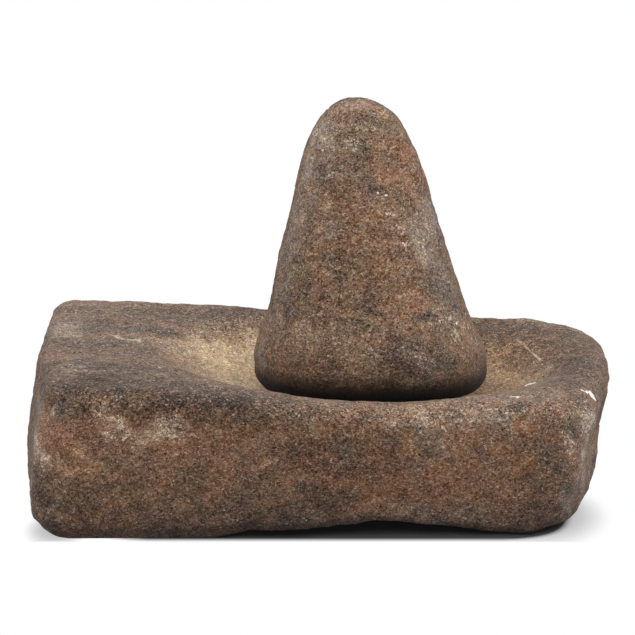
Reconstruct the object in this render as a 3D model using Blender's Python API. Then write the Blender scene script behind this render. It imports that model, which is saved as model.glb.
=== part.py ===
"""Molcajete: a legless slab mortar of granular stone with a conical hand-stone standing in its dish.

Metres, +Z up. The origin is the middle of the slab's plan on the surface it stands on. +X runs along the
slab to its thinner right end, and -Y is the long side that faces whoever grinds.
"""

from math import cos, exp, pi, radians, sin, sqrt, tan

import bmesh
import bpy
from mathutils import Vector, bvhtree, geometry, noise

# Slab, plan of the rim
SLAB_LENGTH = 0.2535  # between the two back corners, before they are rounded
LEFT_END_WIDTH = 0.170
RIGHT_END_WIDTH = 0.151
FRONT_SETBACK_RIGHT = 0.009  # how far the front right corner lies behind the front left one
LEFT_END_SPLAY = 0.009  # how far the back left corner lies beyond the front left one
RIGHT_END_SPLAY = 0.018
RIM_CORNERS = {"front_left": 0.024, "front_right": 0.026, "back_right": 0.032, "back_left": 0.016}
FOOT_CORNERS = {"front_left": 0.011, "front_right": 0.013, "back_right": 0.028, "back_left": 0.014}
SIDE_BOW = {"front": 0.0015, "right": 0.003, "back": 0.0015, "left": 0.003}

# Slab, walls
FOOT_INSET = {"front": 0.001, "right": 0.0045, "back": 0.006, "left": -0.005}  # foot line inside the rim
WALL_BELLY = {"front": 0.0015, "right": -0.0010, "back": 0.0015, "left": 0.0010}
RIM_ROUND = {"front": 0.012, "right": 0.012, "back": 0.009, "left": 0.009}
FOOT_ROUND = {"front": 0.008, "right": 0.010, "back": 0.010, "left": 0.012}

# Slab, heights
LEFT_THICKNESS = 0.066
RIGHT_THICKNESS = 0.056
BACK_FALL = 0.001  # how much lower the back rim lies than the front one
LIP_WEAR = 0.004  # how far the front lip is worn down before the dish
LIP_WEAR_SPREAD = 0.055
HOLLOW_RISE = 0.0032  # shallow hollow under the slab, between its left and right pads
HOLLOW_ENDS = (-0.045, 0.078)
HOLLOW_SLOPES = (0.011, 0.028)  # how far each end of the hollow takes to reach its full rise
ARCH_RISE = 0.0036  # arch in the middle of the hollow
ARCH_CENTRE = 0.022
ARCH_SPREAD = 0.024
PAD_WEAR = 0.0002  # what the floor has worn off the pads, which leaves them flat

# Dish
DISH_CENTRE = (0.014, 0.003)
DISH_LENGTH = 0.174
DISH_WIDTH = 0.124
DISH_DEPTH = 0.0205
DISH_FULLNESS = 3.8  # 2 is a plain bowl, and more makes a flatter floor with steeper sides
DISH_RIM_SOFTNESS = 0.008

# Hand dressing of the slab's outer faces
DRESSING_RELIEF = 0.0012
DRESSING_PITCH = 0.034
DRESSING_STARTS = 0.9  # share of the way out of the dish, where 1 is the dish's edge
DRESSING_FADE = 0.5
DRESSING_OFF_FLOOR = 0.012  # height over which the waves come in above the pads

# Pestle
PESTLE_PLACE = (0.0188, -0.0140)  # its foot, in the dish
PESTLE_TILT = radians(8)  # it leans away from the front, its foot part way up the front of the dish
PESTLE_HEIGHT = 0.1304
PESTLE_BAND_RADIUS = 0.0497  # the upright band round the foot, which is its widest part
PESTLE_BAND_HEIGHT = 0.0068
PESTLE_FOOT_TURN = (0.0105, 0.0102)  # how far the foot's edge lies inside and below the band
PESTLE_FOOT_DOME = 0.0045  # how much lower the middle of the foot is than its edge
PESTLE_WAIST_RADIUS = 0.0407
PESTLE_WAIST_HEIGHT = 0.0472
PESTLE_WAIST_TAPER = radians(16)
PESTLE_FLARE_HANDLES = (0.15, 0.5)  # shares of the run from band to waist that leave each end straight
PESTLE_NECK_RADIUS = 0.0245
PESTLE_NECK_FALL = 0.0256  # from the crown down to where it meets the straight side
PESTLE_NECK_TAPER = radians(19)
PESTLE_NECK_HANDLE = 0.0118  # how firmly the straight side carries on into the crown
PESTLE_CROWN_RADIUS = 0.0145  # flat reach of the crown's curve
PESTLE_LEAN = radians(3.2)  # how far its side leans to the left over its foot
PESTLE_RELIEF = 0.0008  # low waves over its side, where it was pecked to shape
PESTLE_PITCH = 0.026
PESTLE_RELIEF_FADE = 0.012  # height over which the waves come in above the band
THUMB_HOLLOW = (0.0150, -0.0030)  # worn hollow beside the crown, in plan from the middle of the foot
THUMB_HOLLOW_FALL = 0.0150  # how far below the crown it lies
THUMB_HOLLOW_REACH = 0.0075
THUMB_HOLLOW_DEPTH = 0.0011
SEAT_GAP = 0.0003  # left between the foot and the dish

# Mesh density
CORNER_STEPS = 8
SIDE_STEPS = {"front": 26, "right": 12, "back": 26, "left": 12}
ARC_RINGS = 5
WALL_RINGS = 5
TOP_RINGS = 17
PESTLE_STEPS = 60
PROFILE_STEPS = 8

SIDES = ("front", "right", "back", "left")
CORNERS = ("front_left", "front_right", "back_right", "back_left")
ARC_HANDLE = 0.5523  # Bezier handle that turns a corner on a near circle
MOST_ROUNDED = 0.45  # share of a side that the rounding of one corner may take
LEAST_ROUNDED = 0.25  # share of its rounding that a corner keeps as the plan shrinks
FACING_UP = 0.3  # upward part of the normal of a face that belongs to the top
SAME_POINT = 1e-6


def mix(start, end, share):
    return start * (1 - share) + end * share


def ease(share):
    """0 to 1 with flat ends."""
    share = min(max(share, 0.0), 1.0)
    return share * share * (3 - 2 * share)


def clear_scene():
    for thing in list(bpy.data.objects):
        bpy.data.objects.remove(thing, do_unlink=True)


def stone_material(name, color, roughness):
    material = bpy.data.materials.new(name)
    material.use_nodes = True
    shader = material.node_tree.nodes["Principled BSDF"]
    shader.inputs["Base Color"].default_value = (*color, 1.0)
    shader.inputs["Roughness"].default_value = roughness
    shader.inputs["Metallic"].default_value = 0.0
    return material


def finished_object(name, mesh_data, material):
    """Closes the bmesh into an object of this name, shaded smooth."""
    bmesh.ops.recalc_face_normals(mesh_data, faces=mesh_data.faces)
    mesh = bpy.data.meshes.new(name)
    mesh_data.to_mesh(mesh)
    mesh_data.free()
    mesh.shade_smooth()
    mesh.materials.append(material)
    thing = bpy.data.objects.new(name, mesh)
    bpy.context.scene.collection.objects.link(thing)
    return thing


# Heights of the slab's two faces


def rim_height(x, y):
    """The worn top as it would be with no dish in it."""
    along = x / SLAB_LENGTH + 0.5
    across = y / LEFT_END_WIDTH + 0.5
    lip = exp(-(((x - DISH_CENTRE[0]) / LIP_WEAR_SPREAD) ** 2)) * ease(1 - 2 * across)
    return mix(LEFT_THICKNESS, RIGHT_THICKNESS, along) - BACK_FALL * across - LIP_WEAR * lip


def dish_share(x, y):
    """0 in the middle of the dish and 1 on its edge."""
    along = (x - DISH_CENTRE[0]) / (DISH_LENGTH / 2)
    across = (y - DISH_CENTRE[1]) / (DISH_WIDTH / 2)
    return sqrt(along * along + across * across)


def top_height(x, y):
    """The top with its dish: a shallow bowl that eases into the rim."""
    drop = DISH_DEPTH * (1 - dish_share(x, y) ** DISH_FULLNESS)
    softened = (drop + sqrt(drop * drop + DISH_RIM_SOFTNESS**2)) / 2
    return rim_height(x, y) - softened


def underside_height(x):
    """Zero on the flat pads at both ends, hollow between them and arched in the middle."""
    left, right = HOLLOW_ENDS
    hollow = ease((x - left) / HOLLOW_SLOPES[0]) * ease((right - x) / HOLLOW_SLOPES[1])
    arch = exp(-(((x - ARCH_CENTRE) / ARCH_SPREAD) ** 2))
    return max(0.0, HOLLOW_RISE * hollow + ARCH_RISE * arch - PAD_WEAR)


# Plan of the slab


def rim_corners():
    front = -LEFT_END_WIDTH / 2
    front_right = front + FRONT_SETBACK_RIGHT
    left = -SLAB_LENGTH / 2
    right = SLAB_LENGTH / 2
    return [
        Vector((left + LEFT_END_SPLAY, front)),
        Vector((right - RIGHT_END_SPLAY, front_right)),
        Vector((right, front_right + RIGHT_END_WIDTH)),
        Vector((left, front + LEFT_END_WIDTH)),
    ]


def crossing(point, along, other_point, other_along):
    """Where two lines in plan meet."""
    share = (other_point - point).cross(other_along) / along.cross(other_along)
    return point + along * share


def moved_sides(corners, insets):
    """The corners of the plan after each side has moved inwards by its own distance."""
    lines = []
    for i, inset in enumerate(insets):
        along = (corners[(i + 1) % 4] - corners[i]).normalized()
        inwards = Vector((-along.y, along.x))
        lines.append((corners[i] + inwards * inset, along))
    return [crossing(*lines[i - 1], *lines[i]) for i in range(4)]


def round_plan(corners, rounds):
    """Points round a four-sided plan with rounded corners, front left first, anticlockwise from above."""
    ends = []
    for i, corner in enumerate(corners):
        towards = [corners[i - 1] - corner, corners[(i + 1) % 4] - corner]
        cuts = [min(rounds[i], MOST_ROUNDED * run.length) for run in towards]
        ends.append([corner + run.normalized() * cut for run, cut in zip(towards, cuts)])
    points = []
    for i, corner in enumerate(corners):
        first, last = ends[i]
        handles = [mix(end, corner, ARC_HANDLE) for end in (first, last)]
        points += geometry.interpolate_bezier(first, *handles, last, CORNER_STEPS + 1)
        following = ends[(i + 1) % 4][0]
        bow = (following - last).normalized() * SIDE_BOW[SIDES[i]]
        outwards = Vector((bow.y, -bow.x))
        steps = SIDE_STEPS[SIDES[i]]
        for step in range(1, steps):
            share = step / steps
            points.append(mix(last, following, share) + outwards * sin(pi * share) ** 2)
    return points


def round_values(values):
    """One value for each point of round_plan, from one value a side."""
    found = []
    for i, side in enumerate(SIDES):
        before = values[SIDES[i - 1]]
        found += [mix(before, values[side], ease(step / CORNER_STEPS)) for step in range(CORNER_STEPS + 1)]
        found += [values[side]] * (SIDE_STEPS[side] - 1)
    return found


def outline(level, inset):
    """The plan at a share of the wall, 0 at the foot line and 1 at the rim, moved inwards by inset[side]."""
    bulge = sin(pi * level)
    insets = [FOOT_INSET[side] * (1 - level) - WALL_BELLY[side] * bulge + inset[side] for side in SIDES]
    most = max(inset.values())
    full = [mix(FOOT_CORNERS[corner], RIM_CORNERS[corner], level) for corner in CORNERS]
    rounds = [max(radius - most, radius * LEAST_ROUNDED) for radius in full]
    return round_plan(moved_sides(rim_corners(), insets), rounds)


def no_inset():
    return dict.fromkeys(SIDES, 0.0)


# Rings of the slab, from the edge of its underside to the middle of its dish


def foot_rings():
    """The rounded edge between the underside and the wall."""
    radii = round_values(FOOT_ROUND)
    rings = []
    for step in range(ARC_RINGS):
        turn = pi / 2 * step / ARC_RINGS
        plan = outline(0, {side: FOOT_ROUND[side] * (1 - sin(turn)) for side in SIDES})
        lifts = [radius * (1 - cos(turn)) for radius in radii]
        rings.append([Vector((*p, underside_height(p.x) + lift)) for p, lift in zip(plan, lifts)])
    return rings


def wall_rings():
    foot_radii = round_values(FOOT_ROUND)
    rim_radii = round_values(RIM_ROUND)
    rings = []
    for step in range(WALL_RINGS + 1):
        level = step / WALL_RINGS
        ring = []
        for p, foot, rim in zip(outline(level, no_inset()), foot_radii, rim_radii):
            low = underside_height(p.x) + foot
            high = top_height(*p) - rim
            ring.append(Vector((*p, mix(low, high, level))))
        rings.append(ring)
    return rings


def rim_rings():
    """The rounded edge between the wall and the top."""
    radii = round_values(RIM_ROUND)
    rings = []
    for step in range(1, ARC_RINGS + 1):
        turn = pi / 2 * step / ARC_RINGS
        plan = outline(1, {side: RIM_ROUND[side] * (1 - cos(turn)) for side in SIDES})
        falls = [radius * (1 - sin(turn)) for radius in radii]
        rings.append([Vector((*p, top_height(*p) - fall)) for p, fall in zip(plan, falls)])
    return rings


def top_rings(rim_ring):
    """The top from the rim to the middle of the dish, each point straight towards that middle."""
    middle = Vector(DISH_CENTRE)
    rings = []
    for step in range(1, TOP_RINGS):
        plan = [mix(point.xy, middle, step / TOP_RINGS) for point in rim_ring]
        rings.append([Vector((*p, top_height(*p))) for p in plan])
    return rings


def loft(mesh_data, rings, last_point):
    """Skins the rings in order and closes the last with a fan. Returns the first ring's points."""
    made = [[mesh_data.verts.new(point) for point in ring] for ring in rings]
    for ring, following in zip(made, made[1:]):
        for i in range(len(ring)):
            mesh_data.faces.new((ring[i - 1], ring[i], following[i], following[i - 1]))
    tip = mesh_data.verts.new(last_point)
    for i in range(len(made[-1])):
        mesh_data.faces.new((made[-1][i - 1], made[-1][i], tip))
    return made[0]


def underside_chains(ring):
    """The foot's ring as four chains that share their ends, each from the middle of one corner to the next."""
    chains = []
    start = CORNER_STEPS // 2
    for side in SIDES:
        end = start + CORNER_STEPS + SIDE_STEPS[side]
        chains.append([ring[i % len(ring)] for i in range(start, end + 1)])
        start = end
    return chains


def close_underside(mesh_data, ring):
    """A grid of faces across the foot's ring, at the height of the underside."""
    front, right, back, left = underside_chains(ring)
    back.reverse()
    left.reverse()
    columns, rows = len(front) - 1, len(right) - 1
    grid = [front]
    for j in range(1, rows):
        v = j / rows
        row = [left[j]]
        for i in range(1, columns):
            u = i / columns
            across = mix(front[i].co, back[i].co, v) + mix(left[j].co, right[j].co, u)
            corners = mix(mix(front[0].co, front[-1].co, u), mix(back[0].co, back[-1].co, u), v)
            plan = across - corners
            row.append(mesh_data.verts.new((plan.x, plan.y, underside_height(plan.x))))
        grid.append(row + [right[j]])
    grid.append(back)
    for row, following in zip(grid, grid[1:]):
        for i in range(columns):
            mesh_data.faces.new((row[i], following[i], following[i + 1], row[i + 1]))


def dress_by_hand(mesh_data, pitch, relief, share):
    """Low waves left by the hammer, as strong at each point as share(vert) says."""
    bmesh.ops.recalc_face_normals(mesh_data, faces=mesh_data.faces)
    mesh_data.normal_update()
    for vert in mesh_data.verts:
        vert.co += vert.normal * noise.noise(vert.co / pitch) * relief * share(vert)


def slab_share(vert):
    """The waves cover every outer face of the slab, and fade out in the dish and on the pads."""
    outside_dish = 1.0
    if vert.normal.z > FACING_UP:
        outside_dish = ease((dish_share(*vert.co.xy) - DRESSING_STARTS) / DRESSING_FADE)
    return outside_dish * ease(vert.co.z / DRESSING_OFF_FLOOR)


def plan_middle(mesh_data):
    xs = [vert.co.x for vert in mesh_data.verts]
    ys = [vert.co.y for vert in mesh_data.verts]
    return Vector(((min(xs) + max(xs)) / 2, (min(ys) + max(ys)) / 2, 0.0))


def make_slab():
    """The mortar slab, and how far its plan had to move to stand centred on the origin."""
    rims = rim_rings()
    mesh_data = bmesh.new()
    rings = foot_rings() + wall_rings() + rims + top_rings(rims[-1])
    foot = loft(mesh_data, rings, Vector((*DISH_CENTRE, top_height(*DISH_CENTRE))))
    close_underside(mesh_data, foot)
    dress_by_hand(mesh_data, DRESSING_PITCH, DRESSING_RELIEF, slab_share)
    shift = -plan_middle(mesh_data)
    bmesh.ops.translate(mesh_data, verts=mesh_data.verts, vec=shift)
    stone = stone_material("slab_stone", (0.17, 0.11, 0.075), 0.85)
    return finished_object("mortar_slab", mesh_data, stone), shift


# Pestle


def curve_between(start, start_handle, end, end_handle):
    """Points of a Bezier run, start left out. Handles are measured from their own ends."""
    points = geometry.interpolate_bezier(start, start + start_handle, end + end_handle, end, PROFILE_STEPS + 1)
    return points[1:]


def up_the_side(taper, length):
    """A step of this length up a side that leans in by this taper."""
    return Vector((-sin(taper), cos(taper))) * length


def pestle_profile():
    """(radius, height) from the middle of the foot, round the band and up the side to the crown."""
    inwards, below = PESTLE_FOOT_TURN
    foot_edge = Vector((PESTLE_BAND_RADIUS - inwards, PESTLE_FOOT_DOME))
    shares = [step / PROFILE_STEPS for step in range(PROFILE_STEPS + 1)]
    points = [Vector((foot_edge.x * share, foot_edge.y * share * share)) for share in shares]
    band_low = foot_edge + Vector((inwards, below))
    band_high = band_low + Vector((0.0, PESTLE_BAND_HEIGHT))
    waist = Vector((PESTLE_WAIST_RADIUS, PESTLE_WAIST_HEIGHT))
    neck = Vector((PESTLE_NECK_RADIUS, PESTLE_HEIGHT - PESTLE_NECK_FALL))
    crown = Vector((0.0, PESTLE_HEIGHT))
    turn = Vector((inwards, 0)) * ARC_HANDLE
    points += curve_between(foot_edge, turn, band_low, Vector((0, -below)) * ARC_HANDLE)
    points.append(band_high)
    straight, swept = (share * (waist - band_high).length for share in PESTLE_FLARE_HANDLES)
    edge, sweep = up_the_side(0, straight), up_the_side(PESTLE_WAIST_TAPER, swept)
    points += curve_between(band_high, edge, waist, -sweep)
    side = (neck - waist).length / 3
    start, end = up_the_side(PESTLE_WAIST_TAPER, side), up_the_side(PESTLE_NECK_TAPER, side)
    points += curve_between(waist, start, neck, -end)
    rise = up_the_side(PESTLE_NECK_TAPER, PESTLE_NECK_HANDLE)
    points += curve_between(neck, rise, crown, Vector((PESTLE_CROWN_RADIUS, 0)))
    return points


def pestle_share(vert):
    """The waves cover the pestle's side above its band, and leave its foot true."""
    band_top = PESTLE_FOOT_DOME + PESTLE_FOOT_TURN[1] + PESTLE_BAND_HEIGHT
    return ease((vert.co.z - band_top) / PESTLE_RELIEF_FADE)


def wear_thumb_hollow(mesh_data):
    middle = Vector((*THUMB_HOLLOW, PESTLE_HEIGHT - THUMB_HOLLOW_FALL))
    for vert in mesh_data.verts:
        away = (vert.co - middle).length / THUMB_HOLLOW_REACH
        vert.co -= vert.normal * THUMB_HOLLOW_DEPTH * exp(-away * away)


def drop_onto(piece, ground):
    """How far the piece, at its height now, can come down before it touches the ground."""
    sides = ((piece, ground, Vector((0, 0, -1))), (ground, piece, Vector((0, 0, 1))))
    drops = []
    for mine, other, way in sides:
        tree = bvhtree.BVHTree.FromPolygons(
            [other.matrix_world @ vert.co for vert in other.data.vertices],
            [face.vertices for face in other.data.polygons],
        )
        for vert in mine.data.vertices:
            distance = tree.ray_cast(mine.matrix_world @ vert.co, way)[3]
            if distance is not None:
                drops.append(distance)
    return min(drops)


def make_pestle(slab, shift):
    mesh_data = bmesh.new()
    profile = [mesh_data.verts.new((r, 0, h)) for r, h in pestle_profile()]
    edges = [mesh_data.edges.new(pair) for pair in zip(profile, profile[1:])]
    bmesh.ops.spin(
        mesh_data,
        geom=profile + edges,
        axis=(0, 0, 1),
        cent=(0, 0, 0),
        angle=2 * pi,
        steps=PESTLE_STEPS,
        use_merge=True,
    )
    bmesh.ops.remove_doubles(mesh_data, verts=mesh_data.verts, dist=SAME_POINT)
    for vert in mesh_data.verts:
        vert.co.x -= tan(PESTLE_LEAN) * vert.co.z
    dress_by_hand(mesh_data, PESTLE_PITCH, PESTLE_RELIEF, pestle_share)
    wear_thumb_hollow(mesh_data)
    stone = stone_material("pestle_stone", (0.20, 0.135, 0.10), 0.8)
    pestle = finished_object("pestle", mesh_data, stone)
    pestle.location = Vector((*PESTLE_PLACE, max(LEFT_THICKNESS, RIGHT_THICKNESS))) + shift
    pestle.rotation_euler.x = -PESTLE_TILT
    bpy.context.view_layer.update()
    pestle.location.z -= drop_onto(pestle, slab) - SEAT_GAP


clear_scene()
make_pestle(*make_slab())
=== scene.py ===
from math import cos, radians, sin

import bmesh
import bpy
import numpy as np
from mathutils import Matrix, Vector, noise
from mathutils.bvhtree import BVHTree


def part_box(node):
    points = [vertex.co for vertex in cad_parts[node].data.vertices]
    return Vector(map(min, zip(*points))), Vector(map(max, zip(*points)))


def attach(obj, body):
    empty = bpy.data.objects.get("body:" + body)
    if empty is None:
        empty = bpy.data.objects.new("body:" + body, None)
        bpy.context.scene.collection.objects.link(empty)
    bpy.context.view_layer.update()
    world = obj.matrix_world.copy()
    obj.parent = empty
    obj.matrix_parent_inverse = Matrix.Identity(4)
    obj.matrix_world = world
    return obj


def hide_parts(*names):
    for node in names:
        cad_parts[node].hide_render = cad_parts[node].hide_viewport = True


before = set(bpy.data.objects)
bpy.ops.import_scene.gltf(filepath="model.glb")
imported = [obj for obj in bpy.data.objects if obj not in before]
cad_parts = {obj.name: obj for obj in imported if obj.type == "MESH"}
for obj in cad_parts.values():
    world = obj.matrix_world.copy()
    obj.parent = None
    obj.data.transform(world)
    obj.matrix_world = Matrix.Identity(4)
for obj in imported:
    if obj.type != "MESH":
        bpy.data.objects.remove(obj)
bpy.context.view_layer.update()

# A grinding slab and its cone-shaped pestle, both pecked from the same brown stone.
# Marks, dents and scratches are given in millimetres, everything else in metres.

slabLow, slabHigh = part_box("mortar_slab")
pestleLow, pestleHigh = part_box("pestle")
mm = 0.001


def eased(value, low, high):
    # 0 at low, 1 at high, smooth between
    share = np.clip((value - low) / (high - low), 0.0, 1.0)
    return share * share * (3 - 2 * share)


def fading(value, low, high):
    # 1 at low, 0 at high, smooth between
    return 1.0 - eased(value, low, high)


# The dense stone bodies start as an even grid over the plain ones.
body = {
    "weld": 1e-5,           # points nearer to each other than this become one
    "flat": radians(40),    # triangles that bend less than this from each other become one quad
    "roundings": 2,
    "settle": 0.5,          # how far a grid point moves to the middle of its neighbours
    "settleRounds": 4,
    "spreadRounds": 25,     # how often the lost depth is shared out among neighbours
    "inset": 1e-5,          # how far inside the plain solid's box each point stays
}


def refinedMesh(name, node, gridStep):
    # the plain body, rounded off and covered with an even grid
    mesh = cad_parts[node].data.copy()
    shaped = bmesh.new()
    shaped.from_mesh(mesh)
    bmesh.ops.remove_doubles(shaped, verts=shaped.verts, dist=body["weld"])
    bmesh.ops.join_triangles(
        shaped,
        faces=shaped.faces,
        angle_face_threshold=body["flat"],
        angle_shape_threshold=body["flat"],
    )
    bmesh.ops.recalc_face_normals(shaped, faces=shaped.faces)
    shaped.to_mesh(mesh)
    shaped.free()
    stone = bpy.data.objects.new(name, mesh)
    bpy.context.scene.collection.objects.link(stone)
    rounding = stone.modifiers.new("rounding", "SUBSURF")
    rounding.levels = rounding.render_levels = body["roundings"]
    grid = stone.modifiers.new("grid", "REMESH")
    grid.mode = "VOXEL"
    grid.voxel_size = gridStep
    grid.use_smooth_shade = True
    settled = stone.modifiers.new("settled", "SMOOTH")
    settled.factor = body["settle"]
    settled.iterations = body["settleRounds"]
    bpy.context.view_layer.update()
    graph = bpy.context.evaluated_depsgraph_get()
    dense = bpy.data.meshes.new_from_object(stone.evaluated_get(graph))
    stone.modifiers.clear()
    stone.data = dense
    dense.name = name
    dense.materials.clear()
    return stone


def readSurface(stone):
    # the points and normals of the mesh as arrays
    vertices = stone.data.vertices
    found = []
    for field in ("co", "normal"):
        values = np.empty(len(vertices) * 3)
        vertices.foreach_get(field, values)
        found.append(values.reshape(-1, 3))
    return found


def spread(stone, values, rounds):
    # each point takes the mean of itself and its neighbours, some rounds over
    edges = np.empty(len(stone.data.edges) * 2, dtype=np.int32)
    stone.data.edges.foreach_get("vertices", edges)
    first, second = edges[0::2], edges[1::2]
    many = len(values)
    count = np.bincount(edges, minlength=many) + 1.0
    for _ in range(rounds):
        total = values + np.bincount(first, values[second], many)
        values = (total + np.bincount(second, values[first], many)) / count
    return values


def lostDepth(stone, node):
    # how far the rounding has drawn the surface in from the plain one
    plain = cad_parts[node].data
    corners = [vertex.co for vertex in plain.vertices]
    tree = BVHTree.FromPolygons(corners, [face.vertices for face in plain.polygons])
    depth = [
        (tree.find_nearest(point)[0] - Vector(point)).dot(normal)
        for point, normal in zip(*readSurface(stone))
    ]
    return spread(stone, np.array(depth), body["spreadRounds"])


def moveOut(stone, rise, low, high):
    # each point moves along its own normal, and stays in the plain solid's box
    points, normals = readSurface(stone)
    points += normals * rise[:, None]
    points = np.clip(points, np.array(low) + body["inset"], np.array(high) - body["inset"])
    stone.data.vertices.foreach_set("co", points.ravel())
    stone.data.update()


def paint(stone, name, share):
    # one value for each point, which the stone's material reads by its name
    layer = stone.data.attributes.new(name, "FLOAT", "POINT")
    layer.data.foreach_set("value", share.astype(np.float32))


def waves(points, pitch, seed):
    # slow noise, about -1 to 1, one value for each point
    shift = Vector((seed, 0.0, 0.0))
    return np.array([noise.noise(Vector(point / pitch) + shift) for point in points])


def stirred(points, pitch, reach, seed):
    # the same points shifted a little, so that an outline drawn on them wanders
    axisSeeds = (0.0, 17.3, 41.9)
    shift = np.column_stack([waves(points, pitch, seed + axisSeed) for axisSeed in axisSeeds])
    return points + shift * reach


def pits(points, pitch, chance, seed):
    # round hollows in some of the cells, 1 at the middle of a hollow and 0 outside it
    reach = 0.45    # from the middle of a hollow to its rim, in cells
    draw = 7.3      # turns the place of a cell into its own random number
    shift = Vector((seed, 0.0, 0.0))
    depth = np.zeros(len(points))
    for i, point in enumerate(points):
        distances, middles = noise.voronoi(Vector(point / pitch) + shift)
        if noise.cell(middles[0] * draw) < chance:
            depth[i] = max(0.0, 1.0 - (distances[0] / reach) ** 2)
    return depth


def relief(points, piece):
    # how high the worked surface stands at each point
    rise = np.zeros(len(points))
    for height, pitch, seed in piece["relief"]:
        rise += waves(points, pitch, seed) * height
    depth, pitch, chance, seed = piece["pits"]
    return rise - pits(points, pitch, chance, seed) * depth


def nearLine(points, start, end, reach):
    # 1 on a short line and 0 beyond its reach
    core, edge = 0.25 * mm, 1.35 * mm
    start, end = np.array(start) * mm, np.array(end) * mm
    line = end - start
    share = np.clip((points - start) @ line / (line @ line), 0.0, 1.0)
    away = np.linalg.norm(points - start - share[:, None] * line, axis=1)
    return fading(away, reach * core, reach * edge)


def markShare(points, marks, kind):
    share = np.zeros(len(points))
    for markKind, start, end, reach, strength in marks:
        if markKind == kind:
            share = np.maximum(share, nearLine(points, start, end, reach) * strength)
    return share


def dentDepth(points, dents):
    depth = np.zeros(len(points))
    for start, end, reach, sink in dents:
        depth += nearLine(points, start, end, reach) * sink * mm
    return depth


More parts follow.
